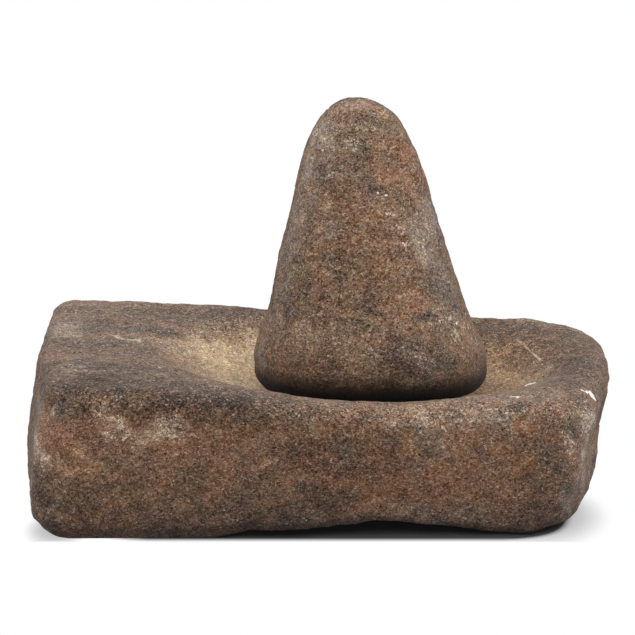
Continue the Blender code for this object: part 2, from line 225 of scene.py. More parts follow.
slab = {
    "gridStep": 0.00125,
    "dishMiddle": (0.0175, 0.0036),
    "dishReach": (0.087, 0.062),
    "dishEdge": (0.62, 1.2),          # shares of that reach between which the worn floor ends
    "topTilt": (0.35, 0.75),          # heights of a normal between which a side turns into top
    "padEdge": (0.0002, 0.003),       # heights between which the level pads end
    # height, pitch, seed
    "relief": [
        (0.0006, 0.022, 3.1),         # slow unevenness left by the hammer
        (0.00060, 0.0075, 8.7),       # marks of single blows
        (0.00038, 0.0028, 1.9),       # grain
    ],
    "pits": (0.0006, 0.0075, 0.7, 5.5),    # depth, pitch, chance, seed
    "dishCalm": 0.75,                 # how much of the relief is worn away in the dish
    "topCalm": 0.3,                   # and on the top
    "inwards": 0.0002,                # how far the worked surface lies inside the plain one
    # pitch, reach and seed of the wandering outlines
    "wander": (0.0055, 0.0038, 2.2),
    "chipWander": (0.003, 0.0007, 4.4),
    "crust": 0.5,                     # how strongly the top differs in colour
    "topDust": 0.15,
    "baseShade": 0.6,
    "baseShadeEdge": (0.006, 0.022),       # heights between which the painted shade near the floor ends
    # kind, start, end, reach, strength
    "marks": [
        # front left corner, and the left of the front
        ("soot", (-109, -67, 64), (-105, -72, 64), 6, 0.8),
        ("soot", (-107, -77, 56), (-101, -80, 59), 6, 0.9),
        ("chalk", (-90, -82, 57), (-86, -83, 52), 6, 0.65),
        ("chalk", (-84, -83, 50), (-77, -83, 45), 6, 0.85),
        ("chalk", (-84, -83, 50), (-84, -84, 42), 5, 0.4),
        ("chalk", (-57, -82, 50), (-64, -82, 47), 5, 0.7),
        ("chalk", (-66, -82, 48), (-75, -83, 42), 4, 0.65),
        ("buff", (-65, -82, 50), (-74, -83, 41), 5, 0.45),
        ("rust", (-109, -82, 34), (-100, -84, 34), 5, 0.5),
        ("buff", (-109, -82, 35), (-94, -84, 31), 4, 0.5),
        ("rust", (-97, -85, 35), (-93, -84, 31), 5, 0.8),
        ("rust", (-54, -79, 58), (-44, -80, 55), 6, 0.6),
        ("rust", (-86, -79, 62), (-84, -80, 60), 4, 0.7),
        ("chalk", (-118, -69, 40), (-113, -79, 35), 6, 1.0),
        ("chalk", (-119, -62, 56), (-120, -58, 48), 6, 0.45),
        ("chalk", (-111, -74, 51), (-108, -76, 56), 1.5, 0.8),
        ("chalk", (-110, -84, 14), (-107, -84, 13), 2.5, 0.65),
        ("soot", (-116, -77, 28), (-113, -83, 17), 6, 0.8),
        ("soot", (-103, -84, 16), (-96, -84, 12), 6, 0.4),
        ("rust", (-90, -83, 12), (-82, -83, 9), 6, 0.6),
        ("buff", (-98, -84, 39), (-90, -84, 34), 5, 0.5),
        ("dust", (-118, -54, 56), (-117, -56, 30), 16, 0.7),
        ("dust", (-118, -62, 24), (-116, -66, 10), 9, 0.7),
        ("rust", (-85, -84, 28), (-82, -84, 19), 9, 0.4),
        ("dust", (-116, -63, 53), (-120, -64, 38), 9, 0.9),
        # lip in front of the dish, and the front below it
        ("soot", (-15, -77, 56), (-2, -76, 55), 4, 0.45),
        ("buff", (1, -73, 56), (24, -70, 55), 4, 0.2),
        ("buff", (28, -70, 55), (40, -72, 54), 5, 0.5),
        ("chalk", (37, -77, 51), (60, -76, 50), 5, 0.45),
        ("dust", (52, -75, 51), (70, -75, 52), 5, 0.35),
        ("dust", (60, -68, 56), (96, -58, 57), 10, 0.3),
        ("chalk", (27, -79, 48), (32, -78, 49), 3, 0.4),
        ("buff", (-2, -81, 50), (-2, -81, 48), 4, 0.6),
        ("rust", (1, -80, 50), (10, -80, 49), 4, 0.6),
        ("soot", (6, -82, 41), (12, -82, 39), 5, 0.6),
        ("soot", (26, -80, 42), (31, -80, 41), 4, 0.5),
        ("chalk", (4, -82, 35), (8, -82, 33), 1.5, 0.6),
        ("chalk", (8, -82, 33), (12, -82, 34), 1.5, 0.6),
        ("rust", (36, -79, 44), (37, -80, 39), 4, 0.7),
        ("rust", (10, -82, 25), (17, -81, 22), 4, 0.6),
        ("soot", (-7, -82, 22), (-1, -82, 21), 4, 0.5),
        ("soot", (-13, -82, 16), (-10, -82, 16), 4, 0.6),
        ("rust", (22, -79, 13), (22, -79, 15), 3, 0.7),
        ("rust", (-21, -82, 17), (-19, -82, 17), 3, 0.7),
        ("rust", (47, -80, 29), (57, -79, 28), 6, 0.6),
        ("soot", (-31, -81, 9), (4, -80, 10), 6, 0.7),
        ("chalk", (-6, -81, 9), (0, -80, 10), 3, 0.6),
        ("chalk", (-21, -81, 12), (-20, -81, 12), 2, 0.6),
        ("chalk", (53, -78, 16), (57, -77, 11), 4, 0.35),
        ("umber", (-8, -80, 52), (20, -80, 46), 9, 0.5),
        ("umber", (-8, -82, 40), (24, -81, 35), 10, 0.65),
        ("rust", (-34, -79, 52), (-24, -79, 51), 6, 0.5),
        ("umber", (-2, -82, 20), (8, -81, 16), 8, 0.6),
        ("dust", (42, -79, 45), (48, -79, 41), 7, 0.5),
        ("dust", (34, -78, 9), (66, -79, 9), 7, 0.6),
        ("umber", (-6, -72, 57), (30, -68, 56), 8, 0.5),
        ("dust", (74, -70, 56), (89, -72, 54), 7, 0.2),
        ("dust", (66, -75, 52), (80, -75, 50), 6, 0.75),
        # front right corner, and the right of the front
        ("chalk", (77, -76, 9), (78, -76, 9), 2, 0.8),
        ("soot", (84, -77, 22), (92, -76, 18), 9, 0.5),
        ("umber", (80, -76, 10), (92, -75, 7), 7, 0.6),
        ("rust", (72, -77, 37), (83, -77, 32), 7, 0.6),
        ("dust", (101, -72, 19), (105, -70, 12), 7, 0.95),
        ("dust", (111, -66, 22), (106, -70, 10), 9, 0.7),
        ("buff", (101, -68, 52), (103, -67, 51), 6, 0.5),
        ("rust", (81, -76, 49), (87, -76, 45), 5, 0.8),
        ("rust", (96, -74, 45), (97, -74, 44), 4, 0.6),
        ("soot", (95, -74, 48), (105, -68, 46), 6, 0.7),
        ("chalk", (102, -71, 41), (103, -70, 38), 6, 0.65),
        ("soot", (91, -76, 40), (92, -76, 39), 5, 0.6),
        ("soot", (99, -74, 33), (99, -74, 28), 6, 0.6),
        ("soot", (99, -74, 28), (104, -71, 20), 6, 0.7),
        ("soot", (86, -76, 12), (98, -74, 9), 6, 0.6),
        ("dust", (112, -60, 46), (112, -48, 14), 13, 0.8),
        ("dust", (111, -58, 50), (112, -60, 34), 8, 0.9),
        ("chalk", (111, -61, 46), (112, -60, 32), 7, 0.85),
        # top, left of the dish
        ("rust", (-64, -73, 62), (-62, -73, 62), 3, 0.9),
        ("umber", (-94, -66, 63), (-53, -67, 62), 14, 0.95),
        ("umber", (-98, -74, 63), (-56, -73, 62), 8, 0.9),
        ("soot", (-98, -68, 64), (-58, -69, 63), 8, 0.5),
        ("rust", (-67, -76, 61), (-62, -76, 61), 3, 0.9),
        ("soot", (-84, -60, 63), (-53, -62, 62), 8, 0.35),
        ("soot", (-53, -67, 61), (-20, -70, 58), 13, 0.7),
        ("soot", (-112, -6, 64), (-80, -9, 63), 16, 0.45),
        ("soot", (-108, -42, 65), (-60, -49, 63), 16, 0.6),
        ("soot", (-104, 40, 64), (-40, 58, 60), 16, 0.5),
        ("buff", (-58, 30, 57), (-40, 22, 48), 20, 0.4),
        ("buff", (-68, 22, 61), (-52, 12, 53), 13, 0.4),
        ("buff", (-52, 43, 58), (-34, 46, 55), 11, 0.45),
        ("buff", (-31, 32, 47), (-30, 48, 53), 9, 0.8),
        ("buff", (-46, 26, 50), (-30, 9, 43), 18, 1.0),
        ("dust", (-112, 31, 64), (-109, 13, 64), 9, 0.9),
        ("soot", (-98, 28, 64), (-66, 30, 61), 9, 0.9),
        ("chalk", (-90, 13, 63), (-87, 10, 63), 2, 0.9),
        ("chalk", (-82, 8, 63), (-78, 13, 62), 2, 0.9),
        ("chalk", (-107, -44, 65), (-96, -51, 65), 7, 0.4),
        ("rust", (-94, 44, 64), (-74, 42, 63), 6, 0.8),
        ("soot", (-44, 61, 61), (-36, 63, 61), 5, 0.6),
        ("dust", (-70, 16, 60), (-61, 18, 56), 9, 0.7),
        ("umber", (-62, -74, 61), (-20, -76, 57), 10, 0.6),
        ("dust", (-108, 48, 64), (-84, 58, 63), 14, 0.6),
        ("rust", (-84, 40, 63), (-66, 36, 61), 7, 0.5),
        ("umber", (-98, -80, 61), (-22, -79, 54), 9, 0.8),
        ("deep", (-62, -78, 60), (-33, -75, 59), 7, 0.8),
        ("deep", (-92, -71, 64), (-58, -70, 63), 12, 0.45),
        ("umber", (-92, 54, 64), (-86, 38, 64), 12, 0.6),
        ("umber", (-56, 74, 60), (-20, 72, 58), 9, 0.6),
        ("umber", (-84, 57, 64), (-34, 66, 61), 10, 0.8),
        ("umber", (-116, -30, 62), (-113, -62, 62), 8, 0.8),
        ("umber", (-110, 54, 64), (-92, 38, 64), 11, 0.5),
        ("buff", (-34, 8, 44), (-26, -4, 43), 12, 0.9),
        # right side of the dish, and the top beyond it
        ("umber", (77, 61, 56), (102, 45, 55), 14, 0.7),
        ("umber", (102, 45, 55), (122, 18, 51), 18, 0.8),
        ("umber", (88, 30, 50), (98, 20, 51), 12, 0.6),
        ("umber", (115, -18, 54), (100, -41, 56), 14, 0.6),
        ("tan", (72, 12, 42), (92, 32, 50), 22, 0.9),
        ("tan", (76, -20, 44), (84, 0, 44), 14, 0.6),
        ("chalk", (94, 20, 49), (100, 8, 51), 3, 0.4),
        ("dust", (83, 29, 46), (102, 4, 51), 8, 0.5),
        ("white", (89, -1, 45), (92, -3, 47), 2.0, 1.0),
        ("white", (77, -59, 57), (81, -62, 57), 1.8, 0.9),
        ("white", (114.5, -39.9, 51.3), (115.1, -39.6, 50.6), 3.4, 1.5),
        ("white", (109, -45, 54.6), (112, -42, 53.5), 1.5, 0.9),
        ("umber", (64, 4, 42), (70, 14, 42), 8, 0.3),
        ("dust", (73, 20, 42), (82, 14, 44), 8, 0.5),
        ("buff", (70, 22, 42), (80, 18, 43), 6, 0.3),
        ("buff", (80, 32, 46), (87, 29, 49), 6, 0.4),
        ("umber", (112, 12, 54), (110, -14, 54), 13, 1.0),
        ("deep", (119, 10, 53), (118, -4, 54), 7, 0.3),
        ("dust", (97, 18, 51), (103, 12, 52), 7, 0.6),
        ("umber", (70, 50, 50), (82, 47, 51), 7, 0.5),
        ("umber", (103, -62, 55), (110, -50, 53), 8, 0.6),
        ("buff", (74, 26, 43), (84, 19, 45), 8, 0.4),
        ("soot", (108, 22, 54), (119, -7, 52), 16, 0.4),
        ("rust", (108, 22, 54), (119, -7, 52), 16, 0.5),
        # left end
        ("soot", (-125, -26, 46), (-125, -4, 36), 11, 0.6),
        ("rust", (-125, 4, 30), (-125, 28, 20), 12, 0.6),
        ("chalk", (-125, 38, 50), (-125, 54, 40), 9, 0.65),
        ("buff", (-125, 48, 42), (-125, 52, 36), 6, 0.5),
        ("umber", (-124, 62, 34), (-124, 68, 16), 10, 0.6),
        ("soot", (-125, -40, 8), (-125, 34, 8), 9, 0.5),
        ("chalk", (-125, -16, 18), (-125, -8, 14), 5, 0.6),
        # right end
        ("dust", (116, -30, 40), (116, -20, 16), 14, 0.55),
        ("rust", (122, 8, 38), (122, 28, 28), 12, 0.6),
        ("soot", (121, 48, 42), (120, 58, 26), 10, 0.6),
        ("chalk", (122, 26, 46), (121, 36, 42), 7, 0.6),
        ("soot", (118, -14, 10), (118, 34, 8), 10, 0.6),
        ("chalk", (120, 52, 14), (118, 60, 12), 5, 0.6),
        ("umber", (121, -12, 46), (121, 0, 30), 9, 0.5),
        # back
        ("chalk", (68, 82, 50), (86, 80, 38), 9, 0.65),
        ("rust", (16, 84, 42), (34, 84, 28), 12, 0.6),
        ("soot", (-34, 84, 48), (-8, 84, 38), 11, 0.6),
        ("umber", (-76, 84, 32), (-42, 84, 20), 14, 0.55),
        ("rust", (-92, 83, 48), (-80, 83, 36), 10, 0.6),
        ("chalk", (-52, 84, 54), (-40, 84, 46), 8, 0.6),
        ("buff", (-46, 84, 50), (-38, 84, 42), 6, 0.5),
        ("soot", (50, 83, 12), (100, 79, 10), 10, 0.6),
        ("soot", (-104, 82, 10), (-60, 84, 8), 10, 0.6),
        ("buff", (-4, 84, 24), (8, 84, 16), 8, 0.5),
        ("soot", (104, 76, 42), (108, 74, 24), 9, 0.7),
        ("rust", (54, 84, 26), (70, 83, 20), 9, 0.5),
    ],
    # start, end, reach, sink, which is below 0 for a swelling
    "dents": [
        ((-121, 26, 60), (-121, 12, 60), 5, 1.2),
        ((-112, -74, 52), (-108, -76, 57), 3, 0.7),
        ((-123, -67, 45), (-122, -75, 34), 8, -1.1),
        ((-122, -62, 60), (-120, -68, 56), 5, 0.8),
        ((-124, -70, 25), (-122, -78, 20), 5, 0.7),
        ((112, -44, 54), (115, -38, 50), 3, 0.8),
        ((-60, -82, 47), (-72, -83, 40), 5, 0.5),
        ((122, 40, 50), (124, 22, 50), 14, -0.9),
        ((62, 76, 56), (88, 74, 54), 12, -1.3),
        ((108, -66, 8), (101, -72, 0), 12, 3.6),
        ((114, -20, 9), (110, -58, 9), 14, 1.2),
        ((119, -20, 28), (114, -58, 28), 14, 1.6),
        ((-120, -78, 2), (-112, -86, 0), 10, 3.0),
        ((-92, -84, 0), (-46, -83, 0), 5, 1.2),
        ((-43, -83, 0), (-34, -82, 1), 6, 2.2),
        ((14, -80, 7), (48, -80, 6), 7, -1.3),
        ((-124, -60, 30), (-124, -70, 12), 6, 0.5),
    ],
}


def dishShare(points):
    # 0 in the middle of the dish, 1 at its reach
    away = (points[:, :2] - slab["dishMiddle"]) / slab["dishReach"]
    return np.hypot(away[:, 0], away[:, 1])


def makeSlab():
    stone = refinedMesh("slabStone", "mortar_slab", slab["gridStep"])
    points, normals = readSurface(stone)
    height = points[:, 2]
    upwards = eased(normals[:, 2], *slab["topTilt"])
    ground = fading(dishShare(points), *slab["dishEdge"]) * upwards
    top = upwards * (1.0 - ground)
    calm = (1.0 - slab["dishCalm"] * ground) * (1.0 - slab["topCalm"] * upwards)
    rise = relief(points, slab) * calm - slab["inwards"]
    rise += lostDepth(stone, "mortar_slab") * (1.0 - ground)
    rise *= eased(height, *slab["padEdge"])    # the pads it stands on keep their level
    moveOut(stone, rise - dentDepth(points, slab["dents"]), slabLow, slabHigh)

    drawn = stirred(points, *slab["wander"])
    chipped = stirred(points, *slab["chipWander"])
    paint(stone, "ground", ground)
    paint(stone, "top", top)
    paint(stone, "crust", top * slab["crust"])
    for kind in ("chalk", "rust", "soot", "umber", "deep", "buff", "tan"):
        paint(stone, kind, markShare(drawn, slab["marks"], kind))
    paint(stone, "white", markShare(chipped, slab["marks"], "white"))
    dust = markShare(drawn, slab["marks"], "dust")
    paint(stone, "dust", np.maximum(dust, upwards * slab["topDust"]))
    # painted shade: darker towards the floor, where less light reaches
    paint(stone, "baseShade", fading(height, *slab["baseShadeEdge"]) * slab["baseShade"])
    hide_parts("mortar_slab")
    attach(stone, "mortar")
    print("slab", len(stone.data.polygons), "faces")
    return stone


pestle = {
    "gridStep": 0.00076,
    "lean": radians(8),
    "underFoot": (0.047, 0.051),      # heights along the pestle between which its underside ends
    # height, pitch, seed
    "relief": [
        (0.0005, 0.020, 13.1),
        (0.00032, 0.0060, 18.7),
        (0.00020, 0.0022, 11.9),
    ],
    "pits": (0.0005, 0.0050, 0.7, 15.5),
    "inwards": 0.0002,
    "wander": (0.005, 0.0032, 6.6),
    "chipWander": (0.002, 0.0005, 4.4),
    # strength of each band of painted shade on the foot, and the heights along the pestle between
    # which it fades out
    "footShades": [
        (0.95, 0.0440, 0.0612),
        (0.15, 0.0580, 0.0800),
    ],
    # kind, start, end, reach, strength
    "marks": [
        # cap
        ("dust", (11, -4, 168), (26, -4, 168), 8, 0.8),
        ("rust", (11, -4, 168), (26, -4, 168), 8, 0.4),
        ("soot", (11, -10, 165), (18, -10, 165), 4, 0.6),
        ("umber", (6, 4, 168), (28, 4, 168), 8, 0.5),
        ("dust", (-3, -5, 160), (5, -14, 157), 9, 0.8),
        ("chalk", (-3, -6, 158), (2, -12, 155), 4, 0.55),
        ("chalk", (0, -14, 153), (14, -20, 153), 4, 0.5),
        ("chalk", (14, -14, 160), (24, -14, 160), 3, 0.4),
        ("soot", (16, -24, 150), (19, -26, 142), 5, 0.5),
        ("buff", (28, -12, 158), (33, -8, 156), 4, 0.6),
        ("rust", (27, -18, 152), (35, -12, 149), 8, 0.7),
        ("buff", (37, -10, 150), (39, -12, 141), 5, 0.6),
        ("soot", (27, -20, 150), (31, -20, 145), 5, 0.5),
        ("umber", (8, -18, 157), (15, -19, 154), 5, 0.5),
        # front
        ("umber", (8, -31, 136), (12, -35, 122), 9, 0.5),
        ("umber", (20, -38, 120), (32, -36, 113), 8, 0.4),
        ("umber", (-8, -36, 92), (-4, -38, 98), 8, 0.4),
        ("rust", (34, -38, 113), (38, -37, 104), 8, 0.5),
        ("chalk", (4, -22, 143), (10, -24, 143), 4, 0.5),
        ("soot", (-4, -18, 146), (2, -22, 140), 6, 0.5),
        ("dust", (18, -26, 142), (23, -27, 138), 5, 0.5),
        ("rust", (9, -29, 132), (21, -36, 119), 12, 0.4),
        ("umber", (12, -38, 112), (22, -42, 98), 12, 0.45),
        ("rust", (-3, -38, 100), (4, -43, 90), 9, 0.5),
        ("rust", (24, -42, 102), (38, -39, 92), 10, 0.5),
        ("dust", (17, -43, 104), (24, -43, 99), 6, 0.5),
        ("soot", (26, -49, 88), (31, -49, 84), 5, 0.4),
        ("rust", (28, -38, 116), (34, -36, 108), 7, 0.5),
        # right shoulder
        ("rust", (34, -16, 146), (40, -16, 136), 6, 0.6),
        ("rust", (27, -22, 145), (36, -19, 141), 9, 0.6),
        ("rust", (26, -24, 138), (41, -18, 131), 9, 0.5),
        ("soot", (22, -28, 137.5), (25, -28, 136), 3, 1.0),
        ("white", (23.8, -28, 135.7), (24.4, -28, 135.3), 0.6, 0.9),
        ("white", (27.3, -27.6, 134.3), (27.9, -27.5, 134.0), 0.75, 1.0),
        ("soot", (25, -28, 133.5), (28, -28, 132.6), 1.5, 0.8),
        ("chalk", (24, -29, 131), (29, -31, 126), 4, 0.45),
        ("chalk", (29, -31, 126), (36, -34, 115), 5, 0.5),
        ("chalk", (41, -28, 115), (43, -30, 108), 5, 0.6),
        ("buff", (45, -30, 106), (46, -30, 103), 3, 0.6),
        ("dust", (42, -28, 119), (50, -29, 98), 9, 0.8),
        ("dust", (45, -16, 126), (47, -18, 116), 9, 1.0),
        ("dust", (51, -24, 102), (56, -26, 91), 7, 0.8),
        # the grey left side
        ("dust", (-2, -14, 145), (-15, -19, 104), 12, 0.6),
        ("dust", (-5, -10, 151), (-5, -14, 141), 7, 0.95),
        ("chalk", (-5, -10, 150), (-5, -14, 142), 6, 0.4),
        ("dust", (-13, -21, 109), (-12, -24, 101), 7, 0.8),
        ("dust", (3, -29, 128), (4, -32, 120), 6, 0.55),
        ("dust", (-15, -19, 104), (-20, -24, 80), 10, 0.5),
        ("olive", (-13, -25, 102), (-7, -33, 101), 5, 0.8),
        ("soot", (-15, -29, 87), (-10, -37, 85), 4, 0.7),
        # lower right, pecked
        ("soot", (48, -31, 99), (57, -26, 87), 7, 0.5),
        ("soot", (41, -45, 85), (46, -42, 86), 3.5, 1.0),
        ("chalk", (51, -37, 85), (66, -24, 71), 10, 0.5),
        ("white", (57, -32.5, 80.5), (57, -32.5, 80), 0.9, 1.0),
        # the dark line above the band: painted shade along the shallow groove dented there
        ("soot", (-20, -24, 80), (-4, -42, 85), 2.5, 0.5),
        ("soot", (-4, -42, 85), (10, -49, 85), 2.5, 0.5),
        ("soot", (10, -49, 85), (40, -46, 85), 2.5, 0.5),
        # the band, and where the painted shade on the foot is thinner
        ("rust", (26, -57, 78), (38, -55, 71), 9, 0.45),
        ("dust", (-8, -44, 80), (-2, -47, 75), 6, 0.5),
        ("thinShade", (38, -57, 62), (50, -52, 62), 7, 0.15),
        ("buff", (11, -54, 78), (26, -56, 76), 6, 0.5),
        ("buff", (11, -58, 69), (26, -59, 70), 6, 0.5),
        ("soot", (29, -55, 76), (41, -52, 74), 6, 0.7),
        ("soot", (31, -57, 72), (43, -54, 68), 6, 0.8),
        ("chalk", (36, -54, 74), (44, -52, 68), 5, 0.4),
        ("buff", (55, -42, 74), (63, -36, 66), 7, 0.4),
        ("umber", (-10, -47, 72), (2, -56, 66), 8, 0.4),
        ("soot", (-20, -32, 72), (-15, -36, 78), 6, 0.4),
        ("dust", (-26, -24, 70), (-24, -28, 61), 5, 0.8),
        ("rust", (24, -56, 76), (30, -57, 72), 6, 0.5),
        # back and sides
        ("chalk", (16, 40, 98), (28, 36, 116), 10, 0.6),
        ("rust", (-8, 32, 92), (4, 34, 112), 12, 0.6),
        ("soot", (34, 28, 136), (42, 24, 116), 10, 0.6),
        ("umber", (-12, 32, 84), (12, 42, 68), 14, 0.5),
        ("soot", (28, 44, 76), (54, 34, 68), 11, 0.6),
        ("buff", (8, 30, 134), (14, 29, 142), 7, 0.5),
        ("rust", (20, 30, 142), (28, 26, 150), 9, 0.5),
        ("chalk", (-12, 22, 134), (-8, 25, 120), 8, 0.55),
        ("chalk", (34, 42, 66), (44, 38, 58), 7, 0.6),
        ("rust", (56, 10, 92), (52, 16, 110), 11, 0.5),
        ("soot", (60, -2, 84), (64, 4, 70), 8, 0.6),
        ("chalk", (-30, 2, 78), (-24, 6, 94), 8, 0.55),
        ("soot", (-20, 8, 108), (-14, 8, 126), 9, 0.5),
        ("rust", (-32, -6, 66), (-30, 8, 60), 8, 0.5),
    ],
    # start, end, reach, sink
    "dents": [
        ((22, -28, 137), (24, -28, 136), 2.2, 1.0),
        ((41, -45, 85), (46, -42, 86), 2.5, 0.8),
        ((-20, -24, 81), (10, -49, 85), 2.5, 0.25),
        ((10, -49, 85), (40, -46, 85), 2.5, 0.25),
        ((30, -54, 75), (42, -52, 72), 4, 0.3),
        ((37, -2, 156), (43, -2, 140), 14, -1.4),
    ],
}


def makePestle():
    stone = refinedMesh("pestleStone", "pestle", pestle["gridStep"])
    points = readSurface(stone)[0]
    along = points[:, 2] * cos(pestle["lean"]) + points[:, 1] * sin(pestle["lean"])
    rise = relief(points, pestle) + lostDepth(stone, "pestle") - dentDepth(points, pestle["dents"])
    rise *= eased(along, *pestle["underFoot"])    # the underside of the foot keeps its shape
    moveOut(stone, rise - pestle["inwards"], pestleLow, pestleHigh)

    drawn = stirred(points, *pestle["wander"])
    chipped = stirred(points, *pestle["chipWander"])
    for kind in ("dust", "chalk", "rust", "soot", "umber", "buff", "olive"):
        paint(stone, kind, markShare(drawn, pestle["marks"], kind))
    paint(stone, "white", markShare(chipped, pestle["marks"], "white"))
    # painted shade on the foot, where it turns under towards the dish
    footShade = [fading(along, low, high) * strength for strength, low, high in pestle["footShades"]]
    shade = np.max(footShade, axis=0) - markShare(drawn, pestle["marks"], "thinShade")
    paint(stone, "shade", np.clip(shade, 0.0, 1.0))
    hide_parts("pestle")
    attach(stone, "pestle")
    print("pestle", len(stone.data.polygons), "faces")
    return stone


# scale, detail and roughness of each noise in the stone
fields = {
    "drift": (28.0, 2.0, 0.55),       # patches of a few centimetres
    "cloud": (130.0, 4.0, 0.6),       # patches of a few millimetres
    "hue": (130.0, 4.0, 0.7),
    "bend": (1300.0, 1.0, 0.55),
    "ragged": (420.0, 3.0, 0.7),      # breaks up the edges of the painted patches
    "hollows": (300.0, 2.0, 0.6),
    "groups": (75.0, 3.0, 0.7),       # where loose whitish grains gather
    "clumps": (260.0, 2.0, 0.6),      # and how they crowd in the chalky places
    "grit": (520.0, 3.0, 0.6),
}


class Nodes:
    # short calls for the nodes of a material or of the world
    def __init__(self, tree):
        self.tree = tree
        self.kept = {}

    def fill(self, node, sockets):
        # each socket takes a number, a colour or the output of another node
        for key, value in dict(sockets).items():
            if hasattr(value, "links"):
                self.tree.links.new(value, node.inputs[key])
            else:
                node.inputs[key].default_value = value
        return node

    def add(self, kind, sockets=(), **settings):
        node = self.tree.nodes.new(kind)
        for key, value in settings.items():
            setattr(node, key, value)
        return self.fill(node, sockets)

    def keep(self, name, kind, sockets=()):
        # a node that is made once and read wherever it is needed
        if name not in self.kept:
            self.kept[name] = self.add(kind, sockets)
        return self.kept[name].outputs

    def where(self):
        # the place on the object itself, which moves with it
        return self.keep("where", "ShaderNodeTexCoord")["Object"]

    def field(self, name, output="Fac"):
        # one of the noises listed above
        scale, detail, roughness = fields[name]
        sockets = {"Vector": self.where(), "Scale": scale, "Detail": detail, "Roughness": roughness}
        return self.keep(name, "ShaderNodeTexNoise", sockets)[output]

    def painted(self, name):
        return self.add("ShaderNodeAttribute", attribute_name=name).outputs["Fac"]

    def math(self, operation, *values):
        return self.add("ShaderNodeMath", dict(enumerate(values)), operation=operation).outputs[0]

    def plus(self, first, second):
        return self.math("ADD", first, second)

    def minus(self, first, second):
        return self.math("SUBTRACT", first, second)

    def times(self, first, second):
        return self.math("MULTIPLY", first, second)

    def vector(self, operation, *values):
        node = self.add("ShaderNodeVectorMath", dict(enumerate(values)), operation=operation)
        return node.outputs["Value" if operation in ("LENGTH", "DOT_PRODUCT") else "Vector"]

    def split(self, color):
        parts = self.add("ShaderNodeSeparateColor", {"Color": color}).outputs
        return parts["Red"], parts["Green"], parts["Blue"]

    def share(self, value, low, high):
        # 0 up to low, 1 from high on, smooth between
        sockets = {"Value": value, "From Min": low, "From Max": high}
        smooth = {"clamp": True, "interpolation_type": "SMOOTHSTEP"}
        return self.add("ShaderNodeMapRange", sockets, **smooth).outputs["Result"]

    def fade(self, value, low, high):
        # 1 up to low, 0 from high on, smooth between
        return self.minus(1.0, self.share(value, low, high))

    def atLeast(self, least, value):
        # a share drawn together so that it starts at its least instead of at 0
        return self.plus(self.times(value, 1.0 - least), least)

    def level(self, value, stops):
        # one number for another, by way of a few stops
        node = self.add("ShaderNodeValToRGB", {"Fac": value})
        elements = node.color_ramp.elements
        while len(elements) < len(stops):
            elements.new(0.5)
        for element, (place, height) in zip(elements, stops):
            element.position = place
            element.color = (height, height, height, 1.0)
        return node.outputs["Color"]

    def mix(self, share, first, second):
        # the second colour over the first one
        first, second = [(*c, 1.0) if isinstance(c, tuple) else c for c in (first, second)]
        sockets = {"Factor": share, "A": first, "B": second}
        return self.add("ShaderNodeMix", sockets, data_type="RGBA").outputs["Result"]

    def vary(self, color, value, strength, middle=0.5):
        # lighter where the value is above its middle, darker below it
        tint = strength if isinstance(strength, tuple) else (strength,) * 3
        return self.vector("MULTIPLY_ADD", self.minus(value, middle), tint, color)

    def scratch(self, start, end, width):
        # 1 along a thin straight line between two places, 0 beside it
        core, taper = 0.3, 0.7    # shares of its width and of its half length that are whole
        start, end, width = Vector(start) * mm, Vector(end) * mm, width * mm
        along = (end - start).normalized()
        half = (end - start).length / 2
        apart = self.vector("SUBTRACT", self.where(), start)
        away = self.vector("LENGTH", self.vector("CROSS_PRODUCT", apart, along))
        down = self.minus(self.vector("DOT_PRODUCT", apart, along), half)
        inside = self.fade(self.math("ABSOLUTE", down), half * taper, half)
        return self.times(self.fade(away, width * core, width), inside)

    def directlySeen(self):
        # 1 for what the camera, a reflection or a glass sees, 0 for light on its way round the room
        path = self.add("ShaderNodeLightPath").outputs
        seen = path["Is Camera Ray"]
        for other in ("Is Glossy Ray", "Is Transmission Ray"):
            seen = self.math("MAXIMUM", seen, path[other])
        return seen


def newMaterial(name):
    material = bpy.data.materials.new(name)
    material.use_nodes = True
    return material, Nodes(material.node_tree)


# Both stones share one recipe of layers. Its colours are given as the eye sees them.

slabFinish = {
    # start, end, width, strength
    "scratches": [
        ((86, 48, 53), (91, 37, 53), 1.2, 0.5),
        ((90, 39, 53), (97, 20, 50), 0.9, 0.9),
        ((93, 20, 49), (101, 7, 51), 1.0, 0.45),
        ((-92, 18, 64), (-87, 10, 63), 1.1, 0.9),
        ((-89, 17, 64), (-85, 8, 63), 1.0, 0.8),
        ((-84, 8, 63), (-77, 14, 62), 1.2, 0.9),
        ((-82, 4, 63), (-74, 9, 62), 1.0, 0.7),
        ((-110, -73, 50), (-108, -76, 57), 0.9, 0.7),
    ],
    "layers": ["crust", "dust", "ground", "tan", "buff", "rust", "umber", "soot", "deep", "baseShade"],
    "crust": (0.381, 0.322, 0.268),
    "grey": (0.435, 0.347, 0.282),
    "red": (0.475, 0.345, 0.265),
    "dust": (0.525, 0.465, 0.412),
    "ground": (0.630, 0.540, 0.430),
    "buff": (0.690, 0.595, 0.475),
    "tan": (0.500, 0.388, 0.277),
    "rust": (0.520, 0.380, 0.280),
    "umber": (0.313, 0.234, 0.175),
    "soot": (0.318, 0.263, 0.222),
    "deep": (0.235, 0.178, 0.140),
    # the colour of the painted shade near the floor
    "baseShade": (0.315, 0.255, 0.225),
    "gloss": 0.2,
    "sheen": 0.08,          # the fine dust that pales the edges
}

pestleFinish = {
    "scratches": [
        ((23, -28, 136.2), (28, -28, 133.4), 0.6, 0.6),
    ],
    "layers": ["dust", "buff", "rust", "umber", "olive", "soot"],
    "grey": (0.434, 0.362, 0.302),
    "red": (0.466, 0.360, 0.282),
    "dust": (0.528, 0.470, 0.422),
    "buff": (0.585, 0.485, 0.400),
    "rust": (0.560, 0.415, 0.325),
    "umber": (0.345, 0.265, 0.215),
    "olive": (0.450, 0.398, 0.302),
    "soot": (0.350, 0.296, 0.266),
    "shade": (0.060, 0.042, 0.032),
    "gloss": 0.08,
    "sheen": 0.05,
}

